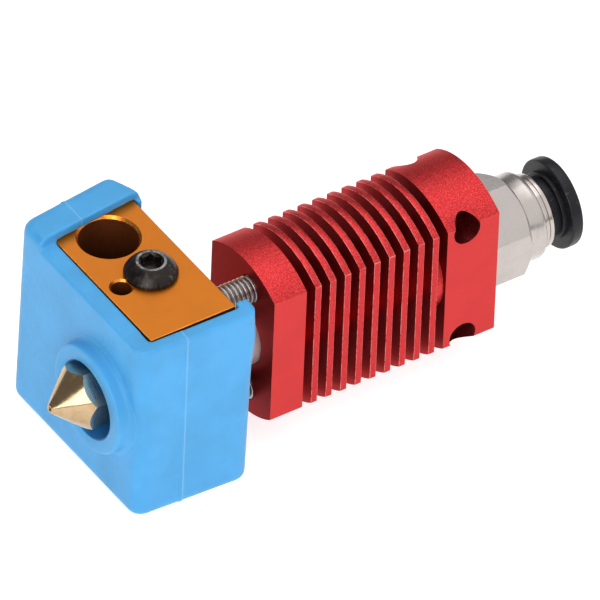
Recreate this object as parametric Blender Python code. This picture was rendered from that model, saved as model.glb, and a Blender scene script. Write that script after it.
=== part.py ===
"""Hotend assembly of a desktop 3-D printer: heater block, nozzle, finned heatsink and push-fit tube fitting.

The frame: +X runs along the filament axis from the nozzle to the fitting, +Z is up and -Y is the
side that bolts to the carriage. The origin is on the heatsink's mounting flat, midway between its
two screw holes. All sizes are in metres.
"""

import math

import bmesh
import bpy
from mathutils import Matrix, Vector

MM = 0.001
CLEARANCE = 0.3 * MM  # between pieces that touch or screw together

# Heatsink: a round bar with two flats, turned fins, and a block at each end
SINK_RADIUS = 9.45 * MM
SINK_HALF_FLAT = 5.64 * MM
SINK_LENGTH = 26.6 * MM
FLANGE_LENGTH = 3.8 * MM
FIN_COUNT = 9
FIN_THICKNESS = 0.74 * MM
FIN_PITCH = 1.74 * MM
FIRST_FIN = 4.83 * MM
TOP_BLOCK_START = 20.5 * MM
CORE_RADIUS = 4.0 * MM
LAST_CORE_RADIUS = 5.2 * MM
MOUNT_HOLE_RADIUS = 1.55 * MM
MOUNT_HOLE_HALF_SPACING = 6.9 * MM
MOUNT_HOLE_FROM_FLANGE = 22.8 * MM

# The filament axis and the stations along it
AXIS_Y = SINK_HALF_FLAT
SINK_START = -MOUNT_HOLE_FROM_FLANGE
SINK_END = SINK_START + SINK_LENGTH
BLOCK_TO_SINK = 4.9 * MM
BLOCK_THICKNESS = 9.95 * MM
NOZZLE_REACH = 7.65 * MM
BLOCK_END = SINK_START - BLOCK_TO_SINK
BLOCK_START = BLOCK_END - BLOCK_THICKNESS
NOZZLE_TIP = BLOCK_START - NOZZLE_REACH

# Heater block
BLOCK_HALF_HEIGHT = 10.0 * MM
BLOCK_NEAR = 6.0 * MM  # from the filament axis to the face on the -Y side
BLOCK_FAR = 14.0 * MM
BLOCK_CHAMFER = 0.25 * MM
HEATER_RADIUS = 3.05 * MM
HEATER_RIM_RADIUS = 3.25 * MM
HEATER_RIM_DEPTH = 0.2 * MM
HEATER_X = 4.85 * MM  # from the block's nozzle side
HEATER_Y = 9.1 * MM  # from the filament axis
PROBE_RADIUS = 1.05 * MM
PROBE_X = 1.85 * MM
PROBE_Y = 2.2 * MM
PROBE_DEPTH = 6.0 * MM
CLAMP_X = 5.45 * MM
CLAMP_Y = 2.4 * MM
CLAMP_HOLE_RADIUS = 1.5 * MM
CLAMP_HOLE_DEPTH = 5.8 * MM
BLOCK_THREAD_RADIUS = 3.2 * MM

# Screws and studs
CLAMP_HEAD_RADIUS = 2.75 * MM
CLAMP_HEAD_HEIGHT = 1.65 * MM
CLAMP_HEAD_FLAT = 1.55 * MM
CLAMP_SHANK_RADIUS = 1.2 * MM
CLAMP_SHANK = 5.2 * MM
CLAMP_SOCKET_FLATS = 2.0 * MM
CLAMP_SOCKET_DEPTH = 1.0 * MM
STUD_RADIUS = 1.45 * MM
STUD_HOLE_RADIUS = STUD_RADIUS + CLEARANCE
STUD_HALF_SPACING = 6.35 * MM
STUD_OFFSET = 1.15 * MM  # towards -Y from the filament axis
STUD_IN_SINK = 3.2 * MM
STUD_SOCKET_FLATS = 1.5 * MM
STUD_SOCKET_DEPTH = 1.5 * MM
SET_SCREW_RADIUS = 1.45 * MM
SET_SCREW_LENGTH = 1.4 * MM
SET_SCREW_SOCKET_DEPTH = 0.8 * MM

# Nozzle
NOZZLE_FLATS = 6.0 * MM
NOZZLE_CORNER = NOZZLE_FLATS / math.sqrt(3)
NOZZLE_TIP_RADIUS = 0.5 * MM
NOZZLE_CONE = 3.4 * MM
NOZZLE_THREAD = 4.9 * MM
NOZZLE_THREAD_RADIUS = 2.85 * MM
NOZZLE_BORE_RADIUS = 1.0 * MM
NOZZLE_ORIFICE_RADIUS = 0.2 * MM
NOZZLE_LAND = 0.5 * MM
NOZZLE_TURN = math.radians(-11.5)

# Heat break and its liner
BREAK_THREAD_RADIUS = 2.9 * MM
BREAK_BARREL_RADIUS = 3.5 * MM
BREAK_IN_FLANGE = 3.3 * MM
BREAK_SPIGOT_RADIUS = 2.75 * MM
BREAK_SPIGOT = 9.0 * MM
TUBE_BORE_RADIUS = 2.1 * MM
LINER_RADIUS = 1.85 * MM
LINER_BORE_RADIUS = 1.0 * MM

# Silicone sock round the block
SOCK_FRONT = 2.05 * MM  # from the block's nozzle side to the sock's outer front face
SOCK_BACK = 1.7 * MM
SOCK_BACK_SLANT = 0.9 * MM  # how much further forward the far corner of the back stands
SOCK_GAP = 0.25 * MM
SOCK_NEAR_FRONT = 7.4 * MM
SOCK_NEAR_BACK = 8.1 * MM
SOCK_FAR_FRONT_TOP = 14.7 * MM
SOCK_FAR_FRONT_LOW = 15.4 * MM
SOCK_FAR_BACK = 16.2 * MM
SOCK_BOTTOM = 11.9 * MM
SOCK_LIP = 11.2 * MM
SOCK_LIP_FRONT = 10.8 * MM  # from the filament axis to the lip's inner edge, which slants
SOCK_LIP_BACK = 12.6 * MM
SOCK_NEAR_TOP = 9.6 * MM
SOCK_HOOK = 1.6 * MM  # how far the back edge turns in behind the block
SOCK_ROUNDING = 1.3 * MM
BOSS_CENTRE = (0, -0.45 * MM, -0.3 * MM)  # the stretched sock sits a little off the filament axis
BOSS_HOLE_RADIUS = 4.15 * MM
BOSS_RADIUS = 5.7 * MM
BOSS_BASE_RADIUS = 6.8 * MM
BOSS_HEIGHT = 1.6 * MM

# Push-fit fitting, measured from the heatsink's top face
FITTING_FLATS = 9.7 * MM
FITTING_COLLAR_RADIUS = 4.65 * MM
FITTING_CORNER = FITTING_FLATS / math.sqrt(3)
FITTING_TURN = math.radians(-6.2)
FITTING_HEX = 4.9 * MM
FITTING_COLLAR_END = 6.9 * MM
FITTING_CHAMFER = 0.55 * MM
FITTING_SHANK = 4.7 * MM
FITTING_SHANK_RADIUS = 2.9 * MM
SEAL_SEAT_START = 0.7 * MM
SEAL_SEAT_RADIUS = 3.15 * MM
CLAW_SEAT_START = 1.9 * MM
CLAW_SEAT_RADIUS = 3.45 * MM
BUSH_SEAT_START = 4.9 * MM
BUSH_SEAT_RADIUS = 3.95 * MM
BUSH_RADIUS = 3.65 * MM
BUSH_BORE_RADIUS = 3.4 * MM
BUSH_RIM_RADIUS = 3.95 * MM
BUSH_END = 8.1 * MM
SEAL_MAJOR = 2.5 * MM
SEAL_MINOR = 0.35 * MM
SEAL_STATION = 1.1 * MM
BACKUP_START = 1.6 * MM
BACKUP_END = 1.95 * MM
BACKUP_RADIUS = 2.85 * MM
BACKUP_BORE_RADIUS = 2.15 * MM
CLAW_START = 3.25 * MM
CLAW_END = 4.5 * MM
CLAW_RADIUS = 3.1 * MM
CLAW_BORE_RADIUS = 2.4 * MM
CLAW_SLOTS = 6
CLAW_SLOT_WIDTH = 0.5 * MM
CLAW_SLOT_DEPTH = 0.8 * MM
STEM_START = 4.8 * MM
STEM_RADIUS = 3.15 * MM
RELEASE_RADIUS = 4.76 * MM
RELEASE_START = 9.68 * MM
RELEASE_END = 11.0 * MM
RELEASE_ROUNDING = 0.3 * MM

ROUND = 40  # sides of a large circle
SMALL_ROUND = 20  # sides of a small one
PAST = 1.0 * MM  # how far a cutter stands out of what it cuts


def clear_scene():
    for obj in list(bpy.data.objects):
        bpy.data.objects.remove(obj, do_unlink=True)


def empty(name, location, parent=None):
    obj = bpy.data.objects.new(name, None)
    obj.empty_display_size = 3 * MM
    obj.location = location
    obj.parent = parent
    bpy.context.scene.collection.objects.link(obj)
    return obj


def material(name, colour, roughness, metallic):
    made = bpy.data.materials.new(name)
    made.use_nodes = True
    shader = made.node_tree.nodes["Principled BSDF"]
    shader.inputs["Base Color"].default_value = (*colour, 1)
    shader.inputs["Roughness"].default_value = roughness
    shader.inputs["Metallic"].default_value = metallic
    return made


def add_object(name, mesh_data, location, parent, finish=None):
    """Puts a bmesh in the scene as an object, shaded smooth with its corners kept sharp."""
    bmesh.ops.recalc_face_normals(mesh_data, faces=mesh_data.faces)
    mesh = bpy.data.meshes.new(name)
    mesh_data.to_mesh(mesh)
    mesh_data.free()
    mesh.shade_smooth()
    mesh.set_sharp_from_angle(angle=math.radians(30))
    obj = bpy.data.objects.new(name, mesh)
    obj.location = location
    obj.parent = parent
    if finish:
        mesh.materials.append(finish)
    bpy.context.scene.collection.objects.link(obj)
    return obj


def add_turned(mesh_data, profile, sides, centre=(0, 0, 0), axis="X"):
    """Adds a turned solid: a closed outline of (distance along the axis, radius), spun a full turn."""
    along, out = {"X": (Vector((1, 0, 0)), Vector((0, 0, 1))),
                  "Y": (Vector((0, 1, 0)), Vector((0, 0, 1))),
                  "Z": (Vector((0, 0, 1)), Vector((1, 0, 0)))}[axis]
    middle = Vector(centre)
    rings = []
    for distance, radius in profile:
        count = sides if radius > 0 else 1
        ring = []
        for step in range(count):
            turn = Matrix.Rotation(2 * math.pi * step / sides, 3, along)
            ring.append(mesh_data.verts.new(middle + along * distance + turn @ (out * radius)))
        rings.append(ring)
    for first, second in zip(rings, rings[1:] + rings[:1]):
        if len(first) == 1 and len(second) == 1:
            continue
        for step in range(sides):
            following = (step + 1) % sides
            corners = [first[step % len(first)], second[step % len(second)],
                       second[following % len(second)], first[following % len(first)]]
            mesh_data.faces.new(list(dict.fromkeys(corners)))


def add_rod(mesh_data, start, end, radius, sides, centre=(0, 0, 0), axis="X"):
    add_turned(mesh_data, [(start, 0), (start, radius), (end, radius), (end, 0)], sides, centre, axis)


def add_box(mesh_data, low, high):
    size = Vector(high) - Vector(low)
    middle = (Vector(high) + Vector(low)) / 2
    place = Matrix.Translation(middle) @ Matrix.Diagonal((*size, 1))
    return bmesh.ops.create_cube(mesh_data, size=1, matrix=place)["verts"]


def add_hex_collar(mesh_data, flats, outer, start, end, turn):
    """Adds a ring with a hexagonal hole, which mills a turned bar down to a hexagon."""
    inner = flats / math.sqrt(3)
    rings = []
    for distance, radius in ((start, inner), (start, outer), (end, outer), (end, inner)):
        rings.append([
            mesh_data.verts.new((distance,
                                 radius * math.sin(turn + math.pi * side / 3),
                                 radius * math.cos(turn + math.pi * side / 3)))
            for side in range(6)
        ])
    for first, second in zip(rings, rings[1:] + rings[:1]):
        for side in range(6):
            following = (side + 1) % 6
            mesh_data.faces.new((first[side], second[side], second[following], first[following]))


def boolean(obj, tool, operation):
    """Leaves a live Boolean on the object and hides its tool from renders."""
    tool.hide_render = True
    tool.display_type = "WIRE"
    modifier = obj.modifiers.new(operation.title(), "BOOLEAN")
    modifier.operation = operation
    modifier.object = tool


def turned(name, profile, location, parent, finish, sides=ROUND):
    mesh_data = bmesh.new()
    add_turned(mesh_data, profile, sides)
    return add_object(name, mesh_data, location, parent, finish)


def make_heatsink(root, finish):
    """The turned and flatted bar, its fin gaps, its stepped bore, and its stud and mounting holes."""
    arc = math.asin(SINK_HALF_FLAT / SINK_RADIUS)
    steps = 12
    angles = [arc * (2 * step / steps - 1) for step in range(steps + 1)]
    angles += [math.pi + angle for angle in angles]
    mesh_data = bmesh.new()
    start = [mesh_data.verts.new((0, SINK_RADIUS * math.sin(a), SINK_RADIUS * math.cos(a)))
             for a in angles]
    face = mesh_data.faces.new(start)
    pulled = bmesh.ops.extrude_face_region(mesh_data, geom=[face])["geom"]
    ends = [part for part in pulled if isinstance(part, bmesh.types.BMVert)]
    bmesh.ops.translate(mesh_data, verts=ends, vec=(SINK_LENGTH, 0, 0))
    heatsink = add_object("heatsink", mesh_data, (SINK_START, AXIS_Y, 0), root, finish)

    cuts = bmesh.new()
    gap_start = FLANGE_LENGTH
    for fin in range(FIN_COUNT + 1):
        last = fin == FIN_COUNT
        gap_end = TOP_BLOCK_START if last else FIRST_FIN + fin * FIN_PITCH
        core = LAST_CORE_RADIUS if last else CORE_RADIUS
        outer = SINK_RADIUS + PAST
        add_turned(cuts, [(gap_start, core), (gap_start, outer), (gap_end, outer), (gap_end, core)], ROUND)
        gap_start = gap_end + FIN_THICKNESS
    barrel = BREAK_BARREL_RADIUS + CLEARANCE
    barrel_end = BREAK_IN_FLANGE + CLEARANCE
    spigot = BREAK_SPIGOT_RADIUS + CLEARANCE
    spigot_end = BREAK_IN_FLANGE + BREAK_SPIGOT + CLEARANCE
    shank = FITTING_SHANK_RADIUS + CLEARANCE
    shank_end = SINK_LENGTH - FITTING_SHANK - CLEARANCE
    add_turned(cuts, [
        (-PAST, 0), (-PAST, barrel), (barrel_end, barrel), (barrel_end, spigot), (spigot_end, spigot),
        (spigot_end, TUBE_BORE_RADIUS), (shank_end, TUBE_BORE_RADIUS), (shank_end, shank),
        (SINK_LENGTH + PAST, shank), (SINK_LENGTH + PAST, 0),
    ], ROUND)
    for side in (-1, 1):
        stud = (0, -STUD_OFFSET, side * STUD_HALF_SPACING)
        add_rod(cuts, -PAST, STUD_IN_SINK + CLEARANCE, STUD_HOLE_RADIUS, SMALL_ROUND, stud)
        hole = (MOUNT_HOLE_FROM_FLANGE, 0, side * MOUNT_HOLE_HALF_SPACING)
        reach = SINK_HALF_FLAT + PAST
        add_rod(cuts, -reach, reach, MOUNT_HOLE_RADIUS, SMALL_ROUND, hole, "Y")
    boolean(heatsink, add_object("heatsink_cuts", cuts, heatsink.location, root), "DIFFERENCE")


def make_heater_block(root, finish):
    """The drilled block. Its local origin is where the filament axis meets its nozzle side."""
    mesh_data = bmesh.new()
    add_box(mesh_data, (0, -BLOCK_NEAR, -BLOCK_HALF_HEIGHT), (BLOCK_THICKNESS, BLOCK_FAR, BLOCK_HALF_HEIGHT))
    block = add_object("heater_block", mesh_data, (BLOCK_START, AXIS_Y, 0), root, finish)
    chamfer = block.modifiers.new("Chamfer", "BEVEL")
    chamfer.width = BLOCK_CHAMFER
    chamfer.segments = 1

    cuts = bmesh.new()
    add_rod(cuts, -PAST, BLOCK_THICKNESS + PAST, BLOCK_THREAD_RADIUS, ROUND)
    for side in (-1, 1):
        stud = (0, -STUD_OFFSET, side * STUD_HALF_SPACING)
        add_rod(cuts, -PAST, BLOCK_THICKNESS + PAST, STUD_HOLE_RADIUS, SMALL_ROUND, stud)
    face = BLOCK_HALF_HEIGHT
    rim = face - HEATER_RIM_DEPTH
    add_turned(cuts, [
        (-face - PAST, 0), (-face - PAST, HEATER_RADIUS), (rim, HEATER_RADIUS),
        (face, HEATER_RIM_RADIUS), (face + PAST, HEATER_RIM_RADIUS), (face + PAST, 0),
    ], ROUND, (HEATER_X, HEATER_Y, 0), "Z")
    add_rod(cuts, face - PROBE_DEPTH, face + PAST, PROBE_RADIUS, SMALL_ROUND, (PROBE_X, PROBE_Y, 0), "Z")
    add_rod(cuts, face - CLAMP_HOLE_DEPTH, face + PAST, CLAMP_HOLE_RADIUS, SMALL_ROUND,
            (CLAMP_X, CLAMP_Y, 0), "Z")
    boolean(block, add_object("heater_block_cuts", cuts, block.location, root), "DIFFERENCE")

    side_hole = bmesh.new()
    add_rod(side_hole, -PAST, HEATER_X, SET_SCREW_RADIUS + CLEARANCE, SMALL_ROUND, (0, HEATER_Y, 0))
    boolean(block, add_object("set_screw_hole", side_hole, block.location, root), "DIFFERENCE")


def make_clamp_screw(root, finish):
    """The button-head screw that clamps the temperature probe, seated on the block's top."""
    seat = (BLOCK_START + CLAMP_X, AXIS_Y + CLAMP_Y, BLOCK_HALF_HEIGHT + 0.05 * MM)
    dome = []
    steps = 6
    for step in range(steps + 1):
        turn = math.pi / 2 * step / steps
        dome.append((0.3 * MM + (CLAMP_HEAD_HEIGHT - 0.3 * MM) * math.sin(turn),
                     CLAMP_HEAD_FLAT + (CLAMP_HEAD_RADIUS - CLAMP_HEAD_FLAT) * math.cos(turn)))
    profile = [(-CLAMP_SHANK, 0), (-CLAMP_SHANK, CLAMP_SHANK_RADIUS), (0, CLAMP_SHANK_RADIUS),
               (0, CLAMP_HEAD_RADIUS), *dome, (CLAMP_HEAD_HEIGHT, 0)]
    mesh_data = bmesh.new()
    add_turned(mesh_data, profile, 32, axis="Z")
    screw = add_object("thermistor_clamp_screw", mesh_data, seat, root, finish)
    socket = bmesh.new()
    add_rod(socket, CLAMP_HEAD_HEIGHT - CLAMP_SOCKET_DEPTH, CLAMP_HEAD_HEIGHT + PAST,
            CLAMP_SOCKET_FLATS / math.sqrt(3), 6, axis="Z")
    boolean(screw, add_object("clamp_screw_socket", socket, seat, root), "DIFFERENCE")


def make_headless_screw(name, location, length, radius, socket_flats, socket_depth, root, finish):
    """A threaded rod along X with a hexagon socket in its nozzle-side end."""
    chamfer = 0.25 * MM
    screw = turned(name, [(0, 0), (0, radius - chamfer), (chamfer, radius), (length - chamfer, radius),
                          (length, radius - chamfer), (length, 0)], location, root, finish, SMALL_ROUND)
    socket = bmesh.new()
    add_rod(socket, -PAST, socket_depth, socket_flats / math.sqrt(3), 6)
    boolean(screw, add_object(name + "_socket", socket, location, root), "DIFFERENCE")


def make_nozzle(root, finish):
    """The brass nozzle: a cone, a hexagon and a threaded shank round the stepped filament bore."""
    seat = NOZZLE_REACH - 0.05 * MM
    end = seat + NOZZLE_THREAD
    bore_start = NOZZLE_CONE * 0.55
    nozzle = turned("nozzle", [
        (0, NOZZLE_ORIFICE_RADIUS), (0, NOZZLE_TIP_RADIUS), (NOZZLE_CONE, NOZZLE_CORNER),
        (seat, NOZZLE_CORNER), (seat, NOZZLE_THREAD_RADIUS), (end, NOZZLE_THREAD_RADIUS),
        (end, NOZZLE_BORE_RADIUS), (bore_start, NOZZLE_BORE_RADIUS), (NOZZLE_LAND, NOZZLE_ORIFICE_RADIUS),
    ], (NOZZLE_TIP, AXIS_Y, 0), root, finish)
    flats = bmesh.new()
    add_hex_collar(flats, NOZZLE_FLATS, NOZZLE_CORNER + PAST, NOZZLE_LAND, seat + 0.2 * MM, NOZZLE_TURN)
    boolean(nozzle, add_object("nozzle_flats", flats, nozzle.location, root), "DIFFERENCE")


def make_heat_break(root, finish):
    """The tube that joins block and heatsink: thread, barrel and spigot round the tube's bore."""
    start = NOZZLE_REACH + NOZZLE_THREAD + CLEARANCE
    barrel = NOZZLE_REACH + BLOCK_THICKNESS + 0.1 * MM
    spigot = SINK_START - NOZZLE_TIP + BREAK_IN_FLANGE
    end = spigot + BREAK_SPIGOT
    turned("heat_break", [
        (start, TUBE_BORE_RADIUS), (start, BREAK_THREAD_RADIUS), (barrel, BREAK_THREAD_RADIUS),
        (barrel, BREAK_BARREL_RADIUS), (spigot, BREAK_BARREL_RADIUS), (spigot, BREAK_SPIGOT_RADIUS),
        (end, BREAK_SPIGOT_RADIUS), (end, TUBE_BORE_RADIUS),
    ], (NOZZLE_TIP, AXIS_Y, 0), root, finish)


def make_liner(root, finish):
    """The low-friction tube inside the heat break, from the nozzle's end to below the fitting."""
    start = NOZZLE_TIP + NOZZLE_REACH + NOZZLE_THREAD + CLEARANCE
    end = SINK_END - FITTING_SHANK - 2 * CLEARANCE
    length = end - start
    turned("ptfe_liner", [(0, LINER_BORE_RADIUS), (0, LINER_RADIUS), (length, LINER_RADIUS),
                          (length, LINER_BORE_RADIUS)], (start, AXIS_Y, 0), root, finish, 24)


def make_sock(root, finish):
    """The moulded sock: open at the top and the back, with a boss round the nozzle."""
    front = -SOCK_FRONT
    back = BLOCK_THICKNESS + SOCK_BACK
    mesh_data = bmesh.new()
    shell = add_box(mesh_data, (front, -1, -SOCK_BOTTOM), (back, 1, SOCK_LIP))
    for corner in shell:
        at_back = corner.co.x > 0
        if corner.co.y < 0:
            corner.co.y = -SOCK_NEAR_BACK if at_back else -SOCK_NEAR_FRONT
        elif at_back:
            corner.co.y = SOCK_FAR_BACK
            corner.co.x -= SOCK_BACK_SLANT
        else:
            corner.co.y = SOCK_FAR_FRONT_TOP if corner.co.z > 0 else SOCK_FAR_FRONT_LOW
    sock = add_object("silicone_sock", mesh_data, (BLOCK_START, AXIS_Y, 0), root, finish)
    rounding = sock.modifiers.new("Rounding", "BEVEL")
    rounding.width = SOCK_ROUNDING
    rounding.segments = 3

    boss = bmesh.new()
    middle = (BOSS_RADIUS + BOSS_BASE_RADIUS) / 2 - 0.25 * MM
    add_turned(boss, [(front - BOSS_HEIGHT, 0), (front - BOSS_HEIGHT, BOSS_RADIUS - 0.5 * MM),
                      (front - BOSS_HEIGHT + 0.4 * MM, BOSS_RADIUS), (front - 0.7 * MM, middle),
                      (front, BOSS_BASE_RADIUS), (front + 0.3 * MM, BOSS_BASE_RADIUS),
                      (front + 0.3 * MM, 0)], ROUND, BOSS_CENTRE)
    boolean(sock, add_object("sock_boss", boss, sock.location, root), "UNION")

    near = -BLOCK_NEAR - SOCK_GAP
    far = BLOCK_FAR + SOCK_GAP
    low = -BLOCK_HALF_HEIGHT - SOCK_GAP
    inside_front = -SOCK_GAP
    inside_back = BLOCK_THICKNESS + SOCK_GAP
    rooms = {
        "sock_cavity": ((inside_front, near, low), (inside_back, far, BLOCK_HALF_HEIGHT + SOCK_GAP)),
        "sock_top": ((front - PAST, -SOCK_NEAR_BACK - PAST, BLOCK_HALF_HEIGHT),
                     (back + PAST, SOCK_LIP_BACK, SOCK_LIP + PAST)),
        "sock_near_top": ((inside_front, -SOCK_NEAR_BACK - PAST, SOCK_NEAR_TOP),
                          (back + PAST, near + PAST, BLOCK_HALF_HEIGHT + PAST)),
        "sock_mouth": ((inside_back - PAST, near + SOCK_HOOK, low + SOCK_HOOK),
                       (back + PAST, far - SOCK_HOOK, SOCK_LIP + PAST)),
    }
    for name, (lowest, highest) in rooms.items():
        room = bmesh.new()
        for corner in add_box(room, lowest, highest):
            if name == "sock_top" and corner.co.y > 0 and corner.co.x < 0:
                corner.co.y = SOCK_LIP_FRONT
        boolean(sock, add_object(name, room, sock.location, root), "DIFFERENCE")
    hole = bmesh.new()
    add_rod(hole, front - BOSS_HEIGHT - PAST, PAST, BOSS_HOLE_RADIUS, ROUND, BOSS_CENTRE)
    boolean(sock, add_object("sock_nozzle_hole", hole, sock.location, root), "DIFFERENCE")


def make_fitting(root, finishes):
    """The fixed pieces of the push-fit fitting, all turned about the filament axis."""
    top = (SINK_END + 0.05 * MM, AXIS_Y, 0)
    body = turned("fitting_body", [
        (-FITTING_SHANK, TUBE_BORE_RADIUS), (-FITTING_SHANK, FITTING_SHANK_RADIUS),
        (0, FITTING_SHANK_RADIUS), (0, FITTING_CORNER - FITTING_CHAMFER),
        (FITTING_CHAMFER, FITTING_CORNER), (FITTING_HEX - FITTING_CHAMFER, FITTING_CORNER),
        (FITTING_HEX, FITTING_COLLAR_RADIUS), (FITTING_COLLAR_END - FITTING_CHAMFER, FITTING_COLLAR_RADIUS),
        (FITTING_COLLAR_END, FITTING_COLLAR_RADIUS - FITTING_CHAMFER), (FITTING_COLLAR_END, BUSH_SEAT_RADIUS),
        (BUSH_SEAT_START, BUSH_SEAT_RADIUS), (BUSH_SEAT_START, CLAW_SEAT_RADIUS),
        (CLAW_SEAT_START, CLAW_SEAT_RADIUS), (CLAW_SEAT_START, SEAL_SEAT_RADIUS),
        (SEAL_SEAT_START, SEAL_SEAT_RADIUS), (SEAL_SEAT_START, TUBE_BORE_RADIUS),
    ], top, root, finishes["nickel"])
    flats = bmesh.new()
    add_hex_collar(flats, FITTING_FLATS, FITTING_CORNER + PAST, -PAST, FITTING_HEX - 0.05 * MM, FITTING_TURN)
    boolean(body, add_object("fitting_flats", flats, top, root), "DIFFERENCE")

    turned("fitting_bush", [
        (BUSH_SEAT_START + CLEARANCE, BUSH_BORE_RADIUS), (BUSH_SEAT_START + CLEARANCE, BUSH_RADIUS),
        (FITTING_COLLAR_END + 0.05 * MM, BUSH_RADIUS), (FITTING_COLLAR_END + 0.05 * MM, BUSH_RIM_RADIUS),
        (BUSH_END - 0.3 * MM, BUSH_RIM_RADIUS), (BUSH_END, BUSH_RIM_RADIUS - 0.25 * MM),
        (BUSH_END, BUSH_BORE_RADIUS),
    ], top, root, finishes["nickel"])
    turned("seal_backup_ring", [
        (BACKUP_START, BACKUP_BORE_RADIUS), (BACKUP_START, BACKUP_RADIUS), (BACKUP_END, BACKUP_RADIUS),
        (BACKUP_END, BACKUP_BORE_RADIUS),
    ], top, root, finishes["black_plastic"], 24)
    steps = 8
    ring = [(SEAL_STATION + SEAL_MINOR * math.cos(2 * math.pi * step / steps),
             SEAL_MAJOR + SEAL_MINOR * math.sin(2 * math.pi * step / steps)) for step in range(steps)]
    turned("tube_seal", ring, top, root, finishes["seal_rubber"], 24)


def make_release_sleeve(slide, finishes):
    """The pieces that are pushed in to let the tube go: the black collar and the steel claw."""
    collar_outline = [
        (STEM_START, TUBE_BORE_RADIUS), (STEM_START, STEM_RADIUS), (RELEASE_START, STEM_RADIUS),
        (RELEASE_START, RELEASE_RADIUS - RELEASE_ROUNDING), (RELEASE_START + RELEASE_ROUNDING, RELEASE_RADIUS),
        (RELEASE_END - RELEASE_ROUNDING, RELEASE_RADIUS), (RELEASE_END, RELEASE_RADIUS - RELEASE_ROUNDING),
        (RELEASE_END, TUBE_BORE_RADIUS + RELEASE_ROUNDING), (RELEASE_END - RELEASE_ROUNDING, TUBE_BORE_RADIUS),
    ]
    turned("release_collar", collar_outline, (0, 0, 0), slide, finishes["black_plastic"])
    claw = turned("grip_claw", [
        (CLAW_START, CLAW_BORE_RADIUS), (CLAW_START, CLAW_RADIUS - 0.3 * MM), (CLAW_END, CLAW_RADIUS),
        (CLAW_END, CLAW_BORE_RADIUS + 0.3 * MM),
    ], (0, 0, 0), slide, finishes["claw_steel"], 24)
    slots = bmesh.new()
    for slot in range(CLAW_SLOTS):
        blade = add_box(slots, (CLAW_START - PAST, -CLAW_SLOT_WIDTH / 2, CLAW_BORE_RADIUS - PAST),
                        (CLAW_START + CLAW_SLOT_DEPTH, CLAW_SLOT_WIDTH / 2, CLAW_RADIUS + PAST))
        turn = Matrix.Rotation(2 * math.pi * (slot + 0.5) / CLAW_SLOTS, 3, "X")
        bmesh.ops.rotate(slots, verts=blade, matrix=turn)
    boolean(claw, add_object("claw_slots", slots, (0, 0, 0), slide), "DIFFERENCE")


def make_screws(root, finishes):
    for name, side in (("spacer_stud_upper", 1), ("spacer_stud_lower", -1)):
        start = BLOCK_START + CLEARANCE
        make_headless_screw(
            name, (start, AXIS_Y - STUD_OFFSET, side * STUD_HALF_SPACING),
            SINK_START + STUD_IN_SINK - start, STUD_RADIUS, STUD_SOCKET_FLATS, STUD_SOCKET_DEPTH,
            root, finishes["stud_steel"])
    make_headless_screw(
        "heater_set_screw", (BLOCK_START + 0.1 * MM, AXIS_Y + HEATER_Y, 0), SET_SCREW_LENGTH,
        SET_SCREW_RADIUS, STUD_SOCKET_FLATS, SET_SCREW_SOCKET_DEPTH, root, finishes["black_steel"])
    make_clamp_screw(root, finishes["black_steel"])


def main():
    clear_scene()
    finishes = {
        "red_anodised": material("red_anodised", (0.55, 0.02, 0.03), 0.35, 0.8),
        "orange_anodised": material("orange_anodised", (0.6, 0.17, 0.015), 0.35, 0.8),
        "blue_silicone": material("blue_silicone", (0.12, 0.5, 0.85), 0.5, 0.0),
        "brass": material("brass", (0.75, 0.55, 0.25), 0.25, 1.0),
        "break_steel": material("break_steel", (0.5, 0.48, 0.45), 0.3, 1.0),
        "stud_steel": material("stud_steel", (0.55, 0.54, 0.5), 0.35, 1.0),
        "black_steel": material("black_steel", (0.03, 0.03, 0.035), 0.35, 0.9),
        "nickel": material("nickel", (0.65, 0.63, 0.6), 0.25, 1.0),
        "claw_steel": material("claw_steel", (0.6, 0.6, 0.6), 0.3, 1.0),
        "black_plastic": material("black_plastic", (0.015, 0.015, 0.017), 0.35, 0.0),
        "seal_rubber": material("seal_rubber", (0.02, 0.02, 0.02), 0.6, 0.0),
        "liner_ptfe": material("liner_ptfe", (0.85, 0.85, 0.83), 0.4, 0.0),
    }
    root = empty("hotend", (0, 0, 0))
    slide = empty("release_slide", (SINK_END + 0.05 * MM, AXIS_Y, 0), root)
    make_heatsink(root, finishes["red_anodised"])
    make_heater_block(root, finishes["orange_anodised"])
    make_nozzle(root, finishes["brass"])
    make_heat_break(root, finishes["break_steel"])
    make_liner(root, finishes["liner_ptfe"])
    make_screws(root, finishes)
    make_sock(root, finishes["blue_silicone"])
    make_fitting(root, finishes)
    make_release_sleeve(slide, finishes)


main()
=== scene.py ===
"""Finished model of a desktop 3-D printer's hotend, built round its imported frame.

The file is laid out as a Blender add-on and run as a script. The frame gives every place and most
sizes; the property groups hold the sizes and colours that a user would change.
"""

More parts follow.
